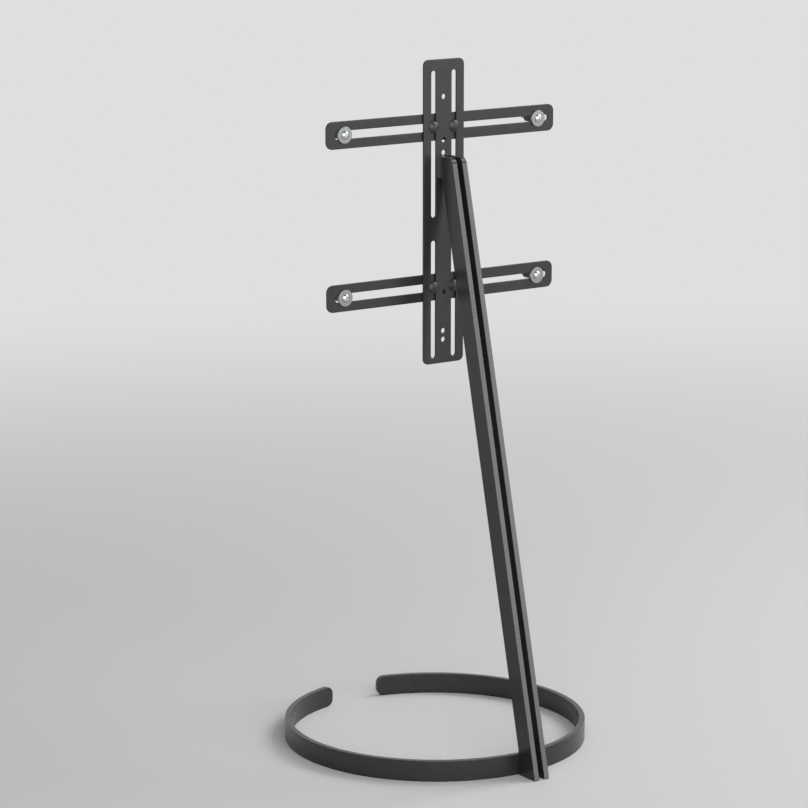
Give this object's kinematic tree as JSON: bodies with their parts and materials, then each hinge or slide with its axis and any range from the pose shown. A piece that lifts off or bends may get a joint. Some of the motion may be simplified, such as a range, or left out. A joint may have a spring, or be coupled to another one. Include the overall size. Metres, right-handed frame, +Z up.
{
  "type": "tv stand with mount",
  "caption": "Floor stand for a flat screen: an open ring base, a tilted column of two parallel plates and a slotted mount plate with sliding slotted arms.",
  "frame": {"origin": "on the floor at the middle of the footprint's bounding box", "axes": "+Z up; +Y to the front, where the mounting screws point to the screen; +X to the right seen from behind the stand"},
  "size_m": [0.524, 0.566, 1.186],
  "materials": {
    "black_steel": "satin black powder coat",
    "black_screws": "black finished steel",
    "dowel_steel": "ground steel pin",
    "zinc_steel": "bright zinc plate",
    "black_plastic": "black nylon"
  },
  "bodies": {
    "stand": {"base_ring": "black_steel", "ring_screws": "black_screws", "column_plate_left": "black_steel", "column_plate_right": "black_steel", "foot_block": "black_steel", "foot_dowels": "dowel_steel", "head_block": "black_steel", "head_dowels": "dowel_steel", "lower_spacer": "black_steel", "lower_spacer_dowel": "dowel_steel", "upper_spacer": "black_steel", "upper_spacer_dowel": "dowel_steel", "mount_plate": "black_steel", "mount_screws": "black_screws"},
    "upper_arm_set": {"upper_arm": "black_steel", "upper_arm_bolts": "black_screws", "upper_arm_washers": "black_screws", "upper_arm_nuts": "black_screws"},
    "lower_arm_set": {"lower_arm": "black_steel", "lower_arm_bolts": "black_screws", "lower_arm_washers": "black_screws", "lower_arm_nuts": "black_screws"},
    "upper_left_fixing": {"tv_screw_upper_left": "zinc_steel", "tv_washer_upper_left": "zinc_steel", "tv_sleeve_upper_left": "black_plastic"},
    "upper_right_fixing": {"tv_screw_upper_right": "zinc_steel", "tv_washer_upper_right": "zinc_steel", "tv_sleeve_upper_right": "black_plastic"},
    "lower_left_fixing": {"tv_screw_lower_left": "zinc_steel", "tv_washer_lower_left": "zinc_steel", "tv_sleeve_lower_left": "black_plastic"},
    "lower_right_fixing": {"tv_screw_lower_right": "zinc_steel", "tv_washer_lower_right": "zinc_steel", "tv_sleeve_lower_right": "black_plastic"}
  },
  "joints": [
    {"name": "upper_arm_height", "type": "slide", "parent": "stand", "child": "upper_arm_set", "axis": [0, 0, 1], "range_m": [-0.028, 0.088]},
    {"name": "lower_arm_height", "type": "slide", "parent": "stand", "child": "lower_arm_set", "axis": [0, 0, 1], "range_m": [-0.114, 0.073]},
    {"name": "upper_left_reach", "type": "slide", "parent": "upper_arm_set", "child": "upper_left_fixing", "axis": [-1, 0, 0], "range_m": [-0.144, 0.0145]},
    {"name": "upper_right_reach", "type": "slide", "parent": "upper_arm_set", "child": "upper_right_fixing", "axis": [1, 0, 0], "range_m": [-0.144, 0.0185]},
    {"name": "lower_left_reach", "type": "slide", "parent": "lower_arm_set", "child": "lower_left_fixing", "axis": [-1, 0, 0], "range_m": [-0.144, 0.0145]},
    {"name": "lower_right_reach", "type": "slide", "parent": "lower_arm_set", "child": "lower_right_fixing", "axis": [1, 0, 0], "range_m": [-0.144, 0.0185]}
  ]
}
